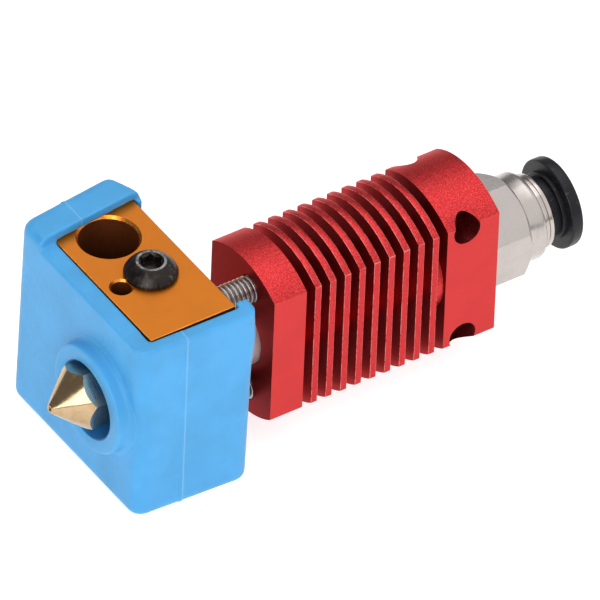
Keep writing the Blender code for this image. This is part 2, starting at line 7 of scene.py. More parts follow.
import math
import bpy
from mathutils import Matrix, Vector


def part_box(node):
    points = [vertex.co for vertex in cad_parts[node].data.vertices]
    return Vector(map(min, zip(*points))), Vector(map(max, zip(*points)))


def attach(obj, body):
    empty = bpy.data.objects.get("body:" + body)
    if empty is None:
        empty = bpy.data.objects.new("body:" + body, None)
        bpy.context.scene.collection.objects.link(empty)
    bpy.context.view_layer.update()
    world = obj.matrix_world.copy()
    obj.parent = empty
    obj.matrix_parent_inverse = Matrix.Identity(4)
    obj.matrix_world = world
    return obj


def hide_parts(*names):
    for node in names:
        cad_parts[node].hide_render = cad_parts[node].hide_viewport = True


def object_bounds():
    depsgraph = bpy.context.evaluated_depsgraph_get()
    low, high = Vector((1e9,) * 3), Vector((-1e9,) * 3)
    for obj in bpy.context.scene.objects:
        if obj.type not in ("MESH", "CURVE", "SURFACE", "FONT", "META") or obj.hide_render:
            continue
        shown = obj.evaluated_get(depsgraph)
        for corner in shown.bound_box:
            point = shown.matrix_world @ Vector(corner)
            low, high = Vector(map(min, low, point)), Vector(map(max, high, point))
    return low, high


bl_info = {
    "name": "Hotend Assembly",
    "version": (1, 0, 0),
    "blender": (4, 5, 0),
    "location": "3D View > Sidebar > Hotend",
    "description": "Builds the visible pieces of a hotend on its frame, with their finishes and a studio",
    "category": "Object",
}

import bmesh
import bpy
from mathutils import Matrix, Vector

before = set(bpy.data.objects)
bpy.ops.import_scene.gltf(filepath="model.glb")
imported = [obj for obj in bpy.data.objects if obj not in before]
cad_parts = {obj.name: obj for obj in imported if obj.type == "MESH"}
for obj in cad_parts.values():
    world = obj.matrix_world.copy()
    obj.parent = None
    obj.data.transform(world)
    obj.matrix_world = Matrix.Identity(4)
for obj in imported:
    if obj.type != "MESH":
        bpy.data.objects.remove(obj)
CAD_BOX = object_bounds()

MM = 0.001
HOTEND = "hotend"
RELEASE_SLEEVE = "release_sleeve"

# ---------------------------------------------------------------- places read from the frame

SINK_LOW, SINK_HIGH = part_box("heatsink")
BLOCK_LOW, BLOCK_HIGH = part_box("heater_block")
SOCK_LOW, SOCK_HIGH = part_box("silicone_sock")
NOZZLE_LOW, NOZZLE_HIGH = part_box("nozzle")
BREAK_LOW, BREAK_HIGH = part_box("heat_break")
BODY_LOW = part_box("fitting_body")[0]
BUSH_LOW, BUSH_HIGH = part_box("fitting_bush")
COLLAR_LOW, COLLAR_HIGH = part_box("release_collar")
CLAMP_LOW, CLAMP_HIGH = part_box("thermistor_clamp_screw")

STUDS = ("spacer_stud_upper", "spacer_stud_lower")
STUD_LOW, STUD_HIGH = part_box(STUDS[0])
STUD_RADIUS = (STUD_HIGH.z - STUD_LOW.z) / 2
AXIS = (SINK_LOW + SINK_HIGH) / 2
AXIS.x = 0
SOCK_FRONT = BLOCK_LOW.x - 2.1 * MM
BOSS_END = SOCK_LOW.x
BOSS_CENTRE = AXIS + Vector((0, -0.45 * MM, -0.3 * MM))
FITTING_SEAT = SINK_HIGH.x + 0.05 * MM
SPIGOT = 9.0 * MM  # length of the heat break's thin end
LINER_ROOM = 2.1 * MM  # radius of the way through for the liner and the tube
SEAM = BLOCK_LOW.x + 3.25 * MM  # where the two halves of the sock's mould met
PAST = 1.0 * MM  # how far a cutter stands out of what it cuts
FINE = 96  # sides of a large circle
MEDIUM = 56  # sides of a small one
SKIN, EDGE, BORE = range(3)  # the first material slots of a milled piece


# ---------------------------------------------------------------- properties


def length(name, description, default):
    return bpy.props.FloatProperty(
        name=name, description=description, default=default * MM, min=0.0, unit="LENGTH", precision=5)


def colour(name, description, default):
    return bpy.props.FloatVectorProperty(
        name=name, description=description, default=default, size=3, min=0.0, max=1.0, subtype="COLOR")


class HotendSizes(bpy.types.PropertyGroup):
    """Sizes of the visible shapes"""

    flange: length("Flange", "Length of the heatsink's solid end on the nozzle side", 3.8)
    first_fin: length("First fin", "From the heatsink's nozzle end to its first fin", 4.83)
    fin_pitch: length("Fin pitch", "From one fin to the next", 1.74)
    fin_thickness: length("Fin thickness", "Thickness of a fin", 0.74)
    fin_count: bpy.props.IntProperty(name="Fins", description="Number of fins", default=9, min=1)
    top_block: length("Top block", "From the heatsink's nozzle end to its solid top block", 20.5)
    core: length("Core", "Radius of the heatsink between its fins", 4.0)
    last_core: length("Last core", "Radius of the heatsink next to its top block", 5.2)
    sink_edge: length("Heatsink edge", "Width of the heatsink's broken edges", 0.07)
    mount_hole: length("Mounting hole", "Radius of the two mounting holes", 1.55)
    mount_spacing: length("Mounting holes, half spacing", "From the axis to a mounting hole", 6.9)
    block_edge: length("Block edge", "Width of the heater block's chamfers", 0.09)
    thread_pitch: length("Thread pitch", "Pitch of the studs' thread", 0.5)
    thread_depth: length("Thread depth", "Depth of the studs' thread", 0.30)
    sock_corners: length("Sock corners", "Radius of the sock's upright edges", 1.5)
    sock_rounding: length("Sock rounding", "Radius of the sock's other outer edges", 1.3)
    sock_voxel: length("Sock voxel", "Fineness of the sock's moulded surface", 0.18)


class HotendColours(bpy.types.PropertyGroup):
    """Colours of the finishes"""

    red: colour("Heatsink", "Red anodising", (0.57, 0.025, 0.029))
    orange: colour("Heater block", "Orange anodising", (0.565, 0.160, 0.005))
    sock: colour("Sock", "Blue silicone", (0.056, 0.325, 0.645))
    brass: colour("Nozzle", "Brass", (0.52, 0.37, 0.22))
    nickel: colour("Fitting", "Nickel plate", (0.50, 0.452, 0.437))
    steel: colour("Studs", "Stainless steel", (0.58, 0.56, 0.55))
    oxide: colour("Clamp screw", "Black oxide", (0.022, 0.017, 0.015))
    plastic: colour("Collar", "Black plastic", (0.005, 0.005, 0.007))


# ---------------------------------------------------------------- finishes


def tree_node(tree, kind, inputs=None, **settings):
    """A node with these settings, its inputs linked or set, in a material's or a geometry tree."""
    made = tree.nodes.new(kind)
    for setting, value in settings.items():
        setattr(made, setting, value)
    for socket, value in (inputs or {}).items():
        if isinstance(value, bpy.types.NodeSocket):
            tree.links.new(value, made.inputs[socket])
        else:
            made.inputs[socket].default_value = value
    return made


class Finish:
    """A Principled material that is built up node by node."""

    def __init__(self, name, base, roughness, metallic, **sockets):
        self.material = bpy.data.materials.new(name)
        self.material.use_nodes = True
        self.tree = self.material.node_tree
        self.shader = self.tree.nodes["Principled BSDF"]
        self.shader.inputs["Base Color"].default_value = (*base, 1)
        self.shader.inputs["Roughness"].default_value = roughness
        self.shader.inputs["Metallic"].default_value = metallic
        for socket, value in sockets.items():
            self.shader.inputs[socket].default_value = value
        self.place = self.tree.nodes.new("ShaderNodeTexCoord").outputs["Object"]

    def node(self, kind, inputs=None, **settings):
        return tree_node(self.tree, kind, inputs, **settings)

    def stretched(self, location=(0, 0, 0), scale=(1, 1, 1), rotation=(0, 0, 0)):
        return self.node("ShaderNodeMapping", {
            "Vector": self.place, "Location": location, "Scale": scale, "Rotation": rotation,
        }).outputs["Vector"]

    def noise(self, size, detail=3.0, roughness=0.55, vector=None):
        """Noise whose lumps are about this size in metres."""
        return self.node("ShaderNodeTexNoise", {
            "Vector": vector or self.place, "Scale": 1 / size, "Detail": detail, "Roughness": roughness,
        }).outputs["Fac"]

    def ramp(self, value, low, high, first, last):
        """Maps low..high of a value to first..last, with soft ends."""
        return self.node("ShaderNodeMapRange", {
            "Value": value, "From Min": low, "From Max": high, "To Min": first, "To Max": last,
        }, interpolation_type="SMOOTHSTEP").outputs["Result"]

    def sum(self, first, second, operation="ADD"):
        return self.node("ShaderNodeMath", {0: first, 1: second}, operation=operation).outputs[0]

    def mix(self, amount, first, second):
        made = self.node("ShaderNodeMix", {"Factor": amount}, data_type="RGBA")
        for socket, value in (("A_Color", first), ("B_Color", second)):
            target = next(s for s in made.inputs if s.identifier == socket)
            if isinstance(value, bpy.types.NodeSocket):
                self.tree.links.new(value, target)
            else:
                target.default_value = (*value, 1)
        return next(s for s in made.outputs if s.identifier == "Result_Color")

    def bump(self, height, depth, strength):
        return self.node("ShaderNodeBump", {
            "Height": height, "Distance": depth, "Strength": strength}).outputs["Normal"]

    def set(self, **links):
        """Links outputs to the shader's sockets: base, roughness or normal."""
        sockets = {"base": "Base Color", "roughness": "Roughness", "normal": "Normal"}
        for word, output in links.items():
            self.tree.links.new(output, self.shader.inputs[sockets[word]])
        return self.material


def shade(base, factor):
    return tuple(min(1.0, channel * factor) for channel in base)


def blend_colours(first, second, amount):
    return tuple(a + (b - a) * amount for a, b in zip(first, second))


def anodised(name, base, grain=0.13 * MM, roughness=0.36, metal=0.93, glitter=1.0, marks=0.5,
             tint=(1, 0.6, 0.6)):
    """Bead-blasted and dyed aluminium: a fine glitter whose brightest grains are blended toward pinkish white
    as a painted glint, cloudy dye and small handling marks.
    """
    finish = Finish(name, base, roughness, metal, **{
        "Coat Weight": 0.02, "Coat Roughness": 0.32, "Specular Tint": (*tint, 1)})
    fine = finish.noise(grain, 2.0, 0.6)
    cloud = finish.noise(4 * MM, 3.0)
    speck = finish.ramp(finish.noise(0.55 * MM, 4.0, 0.7), 0.66, 0.74, 0.0, marks)
    tone = finish.mix(finish.ramp(cloud, 0.3, 0.7, 0.0, 1.0), shade(base, 0.92), shade(base, 1.07))
    # The brightest grains are blended toward pinkish white: a painted glint.
    spark = finish.mix(finish.ramp(fine, 0.36, 0.70, 0.0, 1.0), shade(base, 1 - 0.5 * glitter),
                       blend_colours(shade(base, 1 + 0.45 * glitter), (1, 0.55, 0.5), 0.13 * glitter))
    surface = finish.mix(0.5, tone, spark)
    marked = finish.mix(speck, surface, shade(base, 0.55))
    uneven = finish.sum(finish.ramp(fine, 0.3, 0.7, roughness - 0.06, roughness + 0.06),
                        finish.ramp(cloud, 0.3, 0.7, -0.02, 0.02))
    return finish.set(base=marked, roughness=uneven, normal=finish.bump(fine, 0.045 * MM * glitter, 0.8))


def edge_wear_and_highlight(name, base, bright):
    """The thin bright line on a broken edge: dye worn from it, and a painted highlight where the rounded edge
    catches the light.
    """
    finish = Finish(name, bright, 0.28, 0.9)
    wear = finish.ramp(finish.noise(0.8 * MM, 4.0, 0.7), 0.35, 0.60, 0.0, 1.0)
    return finish.set(base=finish.mix(wear, base, bright),
                      roughness=finish.ramp(finish.noise(0.2 * MM), 0.3, 0.7, 0.22, 0.38))


def turned_metal(name, base, roughness, dirt, pitch=0.05 * MM, depth=0.004 * MM):
    """Bar stock turned about the filament axis: fine rings, soft stains and a few scratches."""
    finish = Finish(name, base, roughness, 1.0)
    rings = finish.noise(pitch, 2.0, 0.5, finish.stretched(scale=(1, 0.02, 0.02)))
    stain = finish.noise(1.6 * MM, 4.0, 0.6)
    scratch = finish.ramp(finish.noise(0.25 * MM, 2.0, 0.5, finish.stretched(scale=(0.12, 1, 1))),
                          0.62, 0.70, 0.0, 1.0)
    tone = finish.mix(finish.ramp(stain, 0.35, 0.75, 0.0, 0.8), base, dirt)
    uneven = finish.sum(finish.ramp(rings, 0.3, 0.7, roughness - 0.06, roughness + 0.07),
                        finish.ramp(stain, 0.3, 0.8, -0.02, 0.08))
    heights = finish.sum(rings, finish.sum(scratch, -0.35, "MULTIPLY"))
    return finish.set(base=tone, roughness=uneven, normal=finish.bump(heights, depth, 0.6))


def threaded_steel(name, base, radius, depth, centre):
    """Rolled thread: bright crests, and grooves painted darker as a painted shade."""
    finish = Finish(name, base, 0.28, 1.0)
    local = finish.stretched([0, -centre[1], -centre[2]], (0, 1, 1))
    height = finish.node("ShaderNodeVectorMath", {0: local}, operation="LENGTH").outputs["Value"]
    # From groove to crest: the grooves painted dark, a painted shade.
    crest = finish.ramp(height, radius - depth * 0.9, radius - depth * 0.1, 0.0, 1.0)
    stain = finish.noise(0.7 * MM, 3.0)
    tone = finish.mix(crest, shade(base, 0.42), finish.mix(stain, shade(base, 0.85), shade(base, 1.1)))
    return finish.set(base=tone, roughness=finish.ramp(stain, 0.3, 0.7, 0.24, 0.36))


def moulded_silicone(name, base):
    """Matt moulded silicone: faint mottling, a soft orange peel, tiny pits and clinging dust."""
    finish = Finish(name, base, 0.46, 0.0, **{
        "Subsurface Weight": 0.35, "Subsurface Radius": (0.4, 0.8, 1.0), "Subsurface Scale": 0.8 * MM,
        "IOR": 1.41, "Sheen Weight": 0.04, "Sheen Roughness": 0.5,
    })
    cloud = finish.noise(5 * MM, 3.0)
    peel = finish.noise(0.35 * MM, 3.0, 0.6)
    pits = finish.ramp(finish.noise(0.5 * MM, 1.0, 0.4), 0.73, 0.77, 0.0, 1.0)
    dust = finish.ramp(finish.noise(0.42 * MM, 5.0, 0.75, finish.stretched((0.013, 0.007, 0.003))),
                       0.745, 0.775, 0.0, 0.55)
    tone = finish.mix(finish.ramp(cloud, 0.3, 0.7, 0.0, 1.0), shade(base, 0.93), shade(base, 1.05))
    across = finish.node("ShaderNodeSeparateXYZ", {"Vector": finish.place}).outputs["X"]
    seam = finish.ramp(finish.sum(finish.sum(across, SEAM, "SUBTRACT"), 0.0, "ABSOLUTE"),
                       0.02 * MM, 0.13 * MM, 0.26, 0.0)
    tone = finish.mix(seam, tone, blend_colours(base, (1, 1, 1), 0.35))
    dusty = finish.mix(dust, tone, blend_colours(base, (1, 1, 1), 0.45))
    heights = finish.sum(peel, finish.sum(pits, -2.0, "MULTIPLY"))
    return finish.set(base=dusty, roughness=finish.ramp(peel, 0.3, 0.7, 0.40, 0.54),
                      normal=finish.bump(heights, 0.012 * MM, 0.6))


def black_oxide(name, base, centre):
    """Oiled black oxide over steel, scratched bright in streaks that run out from the centre."""
    finish = Finish(name, base, 0.34, 0.8, **{"Coat Weight": 0.05, "Coat Roughness": 0.25})
    local = finish.stretched([-value for value in centre], (1, 1, 0))
    ray = finish.node("ShaderNodeVectorMath", {0: local}, operation="NORMALIZE").outputs[0]
    streak = finish.noise(0.055, 3.0, 0.7, ray)
    patch = finish.noise(0.6 * MM, 4.0, 0.7)
    rub = finish.sum(finish.ramp(streak, 0.52, 0.66, 0.0, 0.8), finish.ramp(patch, 0.45, 0.70, 0.1, 1.0),
                     "MULTIPLY")
    tone = finish.mix(rub, base, (0.15, 0.13, 0.12))
    return finish.set(base=tone, roughness=finish.ramp(streak, 0.35, 0.65, 0.26, 0.44),
                      normal=finish.bump(finish.sum(streak, patch), 0.012 * MM, 0.5))


def moulded_plastic(name, base):
    """Moulded nylon: an even fine texture with faint scuffs."""
    roughness = 0.36
    finish = Finish(name, base, roughness, 0.0, **{"IOR": 1.52, "Specular IOR Level": 0.25})
    fine = finish.noise(0.12 * MM, 2.0)
    scuff = finish.ramp(finish.noise(0.3 * MM, 3.0, 0.6, finish.stretched(scale=(0.3, 1, 1))),
                        0.60, 0.72, 0.0, 0.7)
    return finish.set(base=finish.mix(scuff, base, blend_colours(base, (0.2, 0.2, 0.22), 0.25)),
                      roughness=finish.ramp(fine, 0.3, 0.7, roughness - 0.06, roughness + 0.10),
                      normal=finish.bump(fine, 0.008 * MM, 0.5))


def waxy_liner(name):
    """Translucent white fluoropolymer tube."""
    finish = Finish(name, (0.82, 0.82, 0.79), 0.38, 0.0, **{
        "Subsurface Weight": 0.4, "Subsurface Radius": (1, 1, 1), "Subsurface Scale": 0.5 * MM})
    cloud = finish.noise(0.8 * MM, 3.0)
    return finish.set(base=finish.mix(cloud, (0.78, 0.78, 0.74), (0.88, 0.88, 0.86)),
                      roughness=finish.ramp(cloud, 0.3, 0.7, 0.32, 0.46),
                      normal=finish.bump(finish.noise(0.3 * MM), 0.005 * MM, 0.4))


def seal_rubber(name):
    """Black nitrile with a dusty bloom."""
    finish = Finish(name, (0.02, 0.02, 0.02), 0.6, 0.0)
    bloom = finish.noise(0.3 * MM, 4.0, 0.6)
    return finish.set(base=finish.mix(finish.ramp(bloom, 0.4, 0.8, 0.0, 1.0), (0.014, 0.014, 0.014),
                                      (0.05, 0.05, 0.05)),
                      roughness=finish.ramp(bloom, 0.3, 0.7, 0.5, 0.75),
                      normal=finish.bump(bloom, 0.01 * MM, 0.5))


def dye(name):
    """A colour that the user set, as a plain tuple."""
    return tuple(getattr(bpy.context.scene.hotend_colours, name))


def finish_named(name):
    """The material of this name, made when it is first asked for."""
    if name in bpy.data.materials:
        return bpy.data.materials[name]
    red, orange, nickel = dye("red"), dye("orange"), dye("nickel")
    makers = {
        "red_anodised": lambda: anodised(name, red),
        # the milled flats: less glitter, and a paler, pinker red that is a painted reflection of white
        # surroundings
        "red_flat": lambda: anodised(name, (red[0], red[1] * 1.7, red[2] * 1.45), glitter=0.25, marks=0.25),
        # painted shade: the fins' sides, darker like the shaded gaps between fins
        "red_side": lambda: anodised(name, shade(red, 0.72), glitter=0.5, marks=0.25),
        # painted shade: the heatsink's faces that look toward the nozzle, darkened as if in the shade of the
        # block and sock
        "red_end": lambda: anodised(name, shade(red, 0.5), glitter=0.4, marks=0.25),
        # The heatsink's broken edges: worn dye and a painted highlight.
        "red_edge": lambda: edge_wear_and_highlight(name, shade(red, 0.9), blend_colours(red, (1, 0.50, 0.48), 0.45)),
        # painted shade: the inside of the heatsink's bores and holes, darkened
        "red_bore": lambda: anodised(name, shade(red, 0.55)),
        "orange_anodised": lambda: anodised(name, orange, grain=0.10 * MM, metal=0.75, glitter=0.2,
                                            marks=0.15, tint=(1, 1, 1)),
        # The block's broken edges and bore chamfers: worn dye and a painted highlight.
        "orange_edge": lambda: edge_wear_and_highlight(name, shade(orange, 1.1), (0.80, 0.27, 0.04)),
        # painted shade: the inside of the block's bores, a dark brown
        "orange_bore": lambda: anodised(name, (0.26, 0.070, 0.018), grain=0.2 * MM, roughness=0.42,
                                        metal=0.75, glitter=0.3, tint=(1, 0.7, 0.5)),
        # painted shade: a near-black colour for the block's faces that sit in the sock's narrow gaps
        "orange_soot": lambda: anodised(name, (0.05, 0.016, 0.007), grain=0.3 * MM, roughness=0.5,
                                        metal=0.4, glitter=0.3),
        "brass": lambda: turned_metal(name, dye("brass"), 0.17, (0.42, 0.27, 0.12)),
        # the nozzle's hex flats: a pale blue-green that is a painted reflection of the blue sock
        "brass_flat": lambda: turned_metal(name, (0.47, 0.54, 0.48), 0.30, (0.36, 0.40, 0.35)),
        "nickel": lambda: turned_metal(name, nickel, 0.25, (0.46, 0.42, 0.38), 0.06 * MM, 0.002 * MM),
        "bush_nickel": lambda: turned_metal(name, nickel, 0.18, (0.55, 0.50, 0.42)),
        "stainless": lambda: turned_metal(name, (0.82, 0.81, 0.79), 0.48, (0.60, 0.57, 0.53)),
        "blue_silicone": lambda: moulded_silicone(name, dye("sock")),
        # painted shade: the inside of the sock's nozzle hole, a darker blue
        "blue_bore": lambda: moulded_silicone(name, (0.012, 0.15, 0.42)),
        "black_oxide": lambda: black_oxide(name, dye("oxide"), middle_of("thermistor_clamp_screw")),
        # The screw's broken edges and the land round its socket: worn oxide and a painted highlight.
        "socket_rim": lambda: edge_wear_and_highlight(name, (0.06, 0.06, 0.065), (0.28, 0.27, 0.27)),
        "black_plastic": lambda: moulded_plastic(name, dye("plastic")),
        "liner_ptfe": lambda: waxy_liner(name),
        "seal_rubber": lambda: seal_rubber(name),
    }
    for stud in STUDS:
        makers[stud + "_steel"] = lambda: threaded_steel(
            name, dye("steel"), STUD_RADIUS, bpy.context.scene.hotend_sizes.thread_depth,
            middle_of(name.removesuffix("_steel")))
    return makers[name]()


# ---------------------------------------------------------------- mesh tools


def turned(profile, sides=FINE, centre=AXIS, axis="X", into=None):
    """A turned solid in a new mesh, or added into one: a closed outline of distances along the axis
    and radii, spun a full turn."""
    mesh_data = bmesh.new() if into is None else into
    along, out = {"X": (Vector((1, 0, 0)), Vector((0, 0, 1))),
                  "Y": (Vector((0, 1, 0)), Vector((0, 0, 1))),
                  "Z": (Vector((0, 0, 1)), Vector((1, 0, 0)))}[axis]
    middle = Vector(centre)
    rings = []
    for distance, radius in profile:
        count = sides if radius > 0 else 1
        rings.append([
            mesh_data.verts.new(
                middle + along * distance
                + Matrix.Rotation(2 * math.pi * step / sides, 3, along) @ (out * radius))
            for step in range(count)
        ])
    for first, second in zip(rings, rings[1:] + rings[:1]):
        if len(first) == 1 and len(second) == 1:
            continue
        for step in range(sides):
            following = (step + 1) % sides
            corners = [first[step % len(first)], second[step % len(second)],
                       second[following % len(second)], first[following % len(first)]]
            mesh_data.faces.new(list(dict.fromkeys(corners)))
    return mesh_data


def rod(start, end, radius, sides=FINE, centre=AXIS, axis="X", into=None):
    return turned([(start, 0), (start, radius), (end, radius), (end, 0)], sides, centre, axis, into)


def add_box(mesh_data, low, high):
    middle = (Vector(high) + Vector(low)) / 2
    place = Matrix.Translation(middle) @ Matrix.Diagonal((*(Vector(high) - Vector(low)), 1))
    return bmesh.ops.create_cube(mesh_data, size=1, matrix=place)["verts"]


def hex_mill(flats, outer, start, end, turn):
    """A ring with a hexagonal hole about the axis, which mills a turned bar down to a hexagon."""
    mill = bmesh.new()
    inner = flats / math.sqrt(3)
    rings = []
    for distance, radius in ((start, inner), (start, outer), (end, outer), (end, inner)):
        rings.append([
            mill.verts.new((distance, AXIS.y + radius * math.sin(turn + math.pi * side / 3),
                            AXIS.z + radius * math.cos(turn + math.pi * side / 3)))
            for side in range(6)
        ])
    for first, second in zip(rings, rings[1:] + rings[:1]):
        for side in range(6):
            following = (side + 1) % 6
            mill.faces.new((first[side], second[side], second[following], first[following]))
    return mill


def rounded(corner, before, after, radius):
    """The points of a curve that rounds a corner of an outline between two of its neighbours."""
    steps = 5
    corner, before, after = Vector(corner), Vector(before), Vector(after)
    start = corner + (before - corner).normalized() * radius
    end = corner + (after - corner).normalized() * radius
    points = []
    for step in range(steps + 1):
        t = step / steps
        points.append(tuple(start * (1 - t) ** 2 + corner * 2 * t * (1 - t) + end * t ** 2))
    return points


def round_outline(points, radii):
    """A closed outline whose corners are rounded by the radii given for them, 0 for a sharp one."""
    outline = []
    for place, (point, radius) in enumerate(zip(points, radii)):
        if radius:
            outline += rounded(point, points[place - 1], points[(place + 1) % len(points)], radius)
        else:
            outline.append(point)
    return outline


def as_object(name, mesh_data, *finishes):
    bmesh.ops.recalc_face_normals(mesh_data, faces=mesh_data.faces)
    mesh = bpy.data.meshes.new(name)
    mesh_data.to_mesh(mesh)
    mesh_data.free()
    for finish in finishes:
        mesh.materials.append(finish_named(finish))
    obj = bpy.data.objects.new(name, mesh)
    bpy.context.scene.collection.objects.link(obj)
    return obj


def settle(obj):
    """Turns an object and its modifiers into one plain mesh."""
    bpy.context.view_layer.update()
    graph = bpy.context.evaluated_depsgraph_get()
    mesh = bpy.data.meshes.new_from_object(obj.evaluated_get(graph))
    mesh.name = obj.name
    old = obj.data
    obj.modifiers.clear()
    obj.data = mesh
    bpy.data.meshes.remove(old)


def cut(obj, mesh_data, operation="DIFFERENCE", slot=0):
    """Cuts a shape out of the object, or joins it on. The new faces take a material slot."""
    tool = as_object("tool", mesh_data)
    for finish in obj.data.materials:
        tool.data.materials.append(finish)
    for face in tool.data.polygons:
        face.material_index = slot
    modifier = obj.modifiers.new("Cut", "BOOLEAN")
    modifier.operation = operation
    modifier.object = tool
    modifier.solver = "EXACT"
    settle(obj)
    bpy.data.objects.remove(tool, do_unlink=True)


def break_edges(obj, width, angle=30, edge_slot=None):
    """Rounds every sharp edge a little. The new faces may take another material slot."""
    bevel = obj.modifiers.new("Edges", "BEVEL")
    bevel.width = width
    bevel.segments = 2
    bevel.limit_method = "ANGLE"
    bevel.angle_limit = math.radians(angle)
    bevel.use_clamp_overlap = True
    if edge_slot is not None:
        bevel.material = edge_slot
    settle(obj)


def shade_smooth(obj, angle=30):
    """Smooth shading that keeps corners sharp and large faces flat."""
    obj.data.shade_smooth()
    obj.data.set_sharp_from_angle(angle=math.radians(angle))
    weighted = obj.modifiers.new("Flat faces", "WEIGHTED_NORMAL")
    weighted.mode = "FACE_AREA"
    weighted.keep_sharp = True
    settle(obj)


def place_piece(obj, body, slot, *nodes, angle=30):
    """Shades a finished piece, hangs it on the empty of the body it rides on, and hides the frame nodes it
    stands in for.
    """
    if angle:
        shade_smooth(obj, angle)
    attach(obj, body)
    if nodes:
        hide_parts(*nodes)
    return obj


def middle_of(node):
    low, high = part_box(node)
    return (low + high) / 2


def line_of(node):
    """A point at x = 0 on the line along X through a node's middle."""
    middle = middle_of(node)
    middle.x = 0
    return middle


def dress(node, finish):
    """Gives a frame node that stays in sight, or hidden inside, its finish."""
    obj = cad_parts[node]
    obj.data.materials.clear()
    obj.data.materials.append(finish_named(finish))


# ---------------------------------------------------------------- geometry node trees


def new_tree(name, *inputs):
    """A geometry node group with a Geometry input and these other inputs: (name, socket type)."""
    tree = bpy.data.node_groups.new(name, "GeometryNodeTree")
    tree.interface.new_socket("Geometry", in_out="INPUT", socket_type="NodeSocketGeometry")
    for socket, kind in inputs:
        tree.interface.new_socket(socket, in_out="INPUT", socket_type=kind)
    tree.interface.new_socket("Geometry", in_out="OUTPUT", socket_type="NodeSocketGeometry")
    return tree


def end_tree(tree, geometry, material):
    """Every tree ends the same way: real geometry, with its material set."""
    real = tree_node(tree, "GeometryNodeRealizeInstances", {"Geometry": geometry})
    dressed = tree_node(tree, "GeometryNodeSetMaterial", {"Geometry": real.outputs[0], "Material": material})
    tree_node(tree, "NodeGroupOutput", {"Geometry": dressed.outputs[0]})


def run_tree(obj, tree, **values):
    """Runs a tree on an object, its inputs set by their sockets' identifiers, and keeps the result."""
    modifier = obj.modifiers.new(tree.name, "NODES")
    modifier.node_group = tree
    for item in tree.interface.items_tree:
        if item.in_out == "INPUT" and item.name in values:
            modifier[item.identifier] = values[item.name]
    settle(obj)


def row_tree():
    """Repeats a plate along X at an even pitch: the heatsink's fins."""
    tree = new_tree("Row of plates", ("Count", "NodeSocketInt"), ("Pitch", "NodeSocketFloat"),
                    ("Material", "NodeSocketMaterial"))
    given = tree_node(tree, "NodeGroupInput")
    offset = tree_node(tree, "ShaderNodeCombineXYZ", {"X": given.outputs["Pitch"]})
    line = tree_node(tree, "GeometryNodeMeshLine", {
        "Count": given.outputs["Count"], "Offset": offset.outputs[0]})
    row = tree_node(tree, "GeometryNodeInstanceOnPoints", {
        "Points": line.outputs["Mesh"], "Instance": given.outputs["Geometry"]})
    end_tree(tree, row.outputs["Instances"], given.outputs["Material"])
    return tree


def thread_tree():
    """Presses a screw thread into a smooth rod along X: the groove follows the turn round the rod."""
    tree = new_tree("Thread", ("Centre", "NodeSocketVector"), ("Pitch", "NodeSocketFloat"),
                    ("Depth", "NodeSocketFloat"), ("Material", "NodeSocketMaterial"))
    given = tree_node(tree, "NodeGroupInput")

    def maths(operation, *values):
        return tree_node(tree, "ShaderNodeMath", dict(enumerate(values)), operation=operation).outputs[0]

    place = tree_node(tree, "GeometryNodeInputPosition").outputs[0]
    local = tree_node(tree, "ShaderNodeVectorMath", {0: place, 1: given.outputs["Centre"]},
                      operation="SUBTRACT").outputs[0]
    parts = tree_node(tree, "ShaderNodeSeparateXYZ", {"Vector": local})
    turn = maths("DIVIDE", maths("ARCTAN2", parts.outputs["Z"], parts.outputs["Y"]), 2 * math.pi)
    turns_along = maths("DIVIDE", parts.outputs["X"], given.outputs["Pitch"])
    phase = maths("FRACT", maths("SUBTRACT", turns_along, turn))
    groove = maths("ABSOLUTE", maths("SUBTRACT", maths("MULTIPLY", phase, 2.0), 1.0))
    soft = tree_node(tree, "ShaderNodeMapRange", {"Value": groove, "From Min": 0.12, "From Max": 0.92},
                     interpolation_type="SMOOTHSTEP").outputs["Result"]
    inward = tree_node(tree, "ShaderNodeCombineXYZ", {
        "Y": maths("MULTIPLY", parts.outputs["Y"], -1.0), "Z": maths("MULTIPLY", parts.outputs["Z"], -1.0),
    }).outputs[0]
    way = tree_node(tree, "ShaderNodeVectorMath", {0: inward}, operation="NORMALIZE").outputs[0]
    push = tree_node(tree, "ShaderNodeVectorMath", {
        0: way, "Scale": maths("MULTIPLY", soft, given.outputs["Depth"])}, operation="SCALE").outputs[0]
    radius = tree_node(tree, "ShaderNodeVectorMath", {0: inward}, operation="LENGTH").outputs["Value"]
    skin = tree_node(tree, "FunctionNodeCompare", {"A": radius, "B": STUD_RADIUS * 0.8},
                     operation="GREATER_THAN").outputs["Result"]
    moved = tree_node(tree, "GeometryNodeSetPosition", {
        "Geometry": given.outputs["Geometry"], "Selection": skin, "Offset": push})
    end_tree(tree, moved.outputs[0], given.outputs["Material"])
    return tree


# ---------------------------------------------------------------- pieces


class PieceOperator(bpy.types.Operator):
    """Base of the operators: each builds its pieces and finishes, or raises an error"""

    bl_options = {"REGISTER", "UNDO"}

    def execute(self, context):
        self.build(context.scene.hotend_sizes)
        return {"FINISHED"}


def flatted_bar(start, stop):
    """The heatsink's section, a circle with two flats, pulled along X."""
    steps = 48
    radius = (SINK_HIGH.z - SINK_LOW.z) / 2
    half_flat = (SINK_HIGH.y - SINK_LOW.y) / 2
    arc = math.asin(half_flat / radius)
    angles = [arc * (2 * step / steps - 1) for step in range(steps + 1)]
    angles += [math.pi + angle for angle in angles]
    bar = bmesh.new()
    face = bar.faces.new([
        bar.verts.new((start, AXIS.y + radius * math.sin(a), AXIS.z + radius * math.cos(a)))
        for a in angles])
    pulled = bmesh.ops.extrude_face_region(bar, geom=[face])["geom"]
    bmesh.ops.translate(bar, verts=[part for part in pulled if isinstance(part, bmesh.types.BMVert)],
                        vec=(stop - start, 0, 0))
    return bar


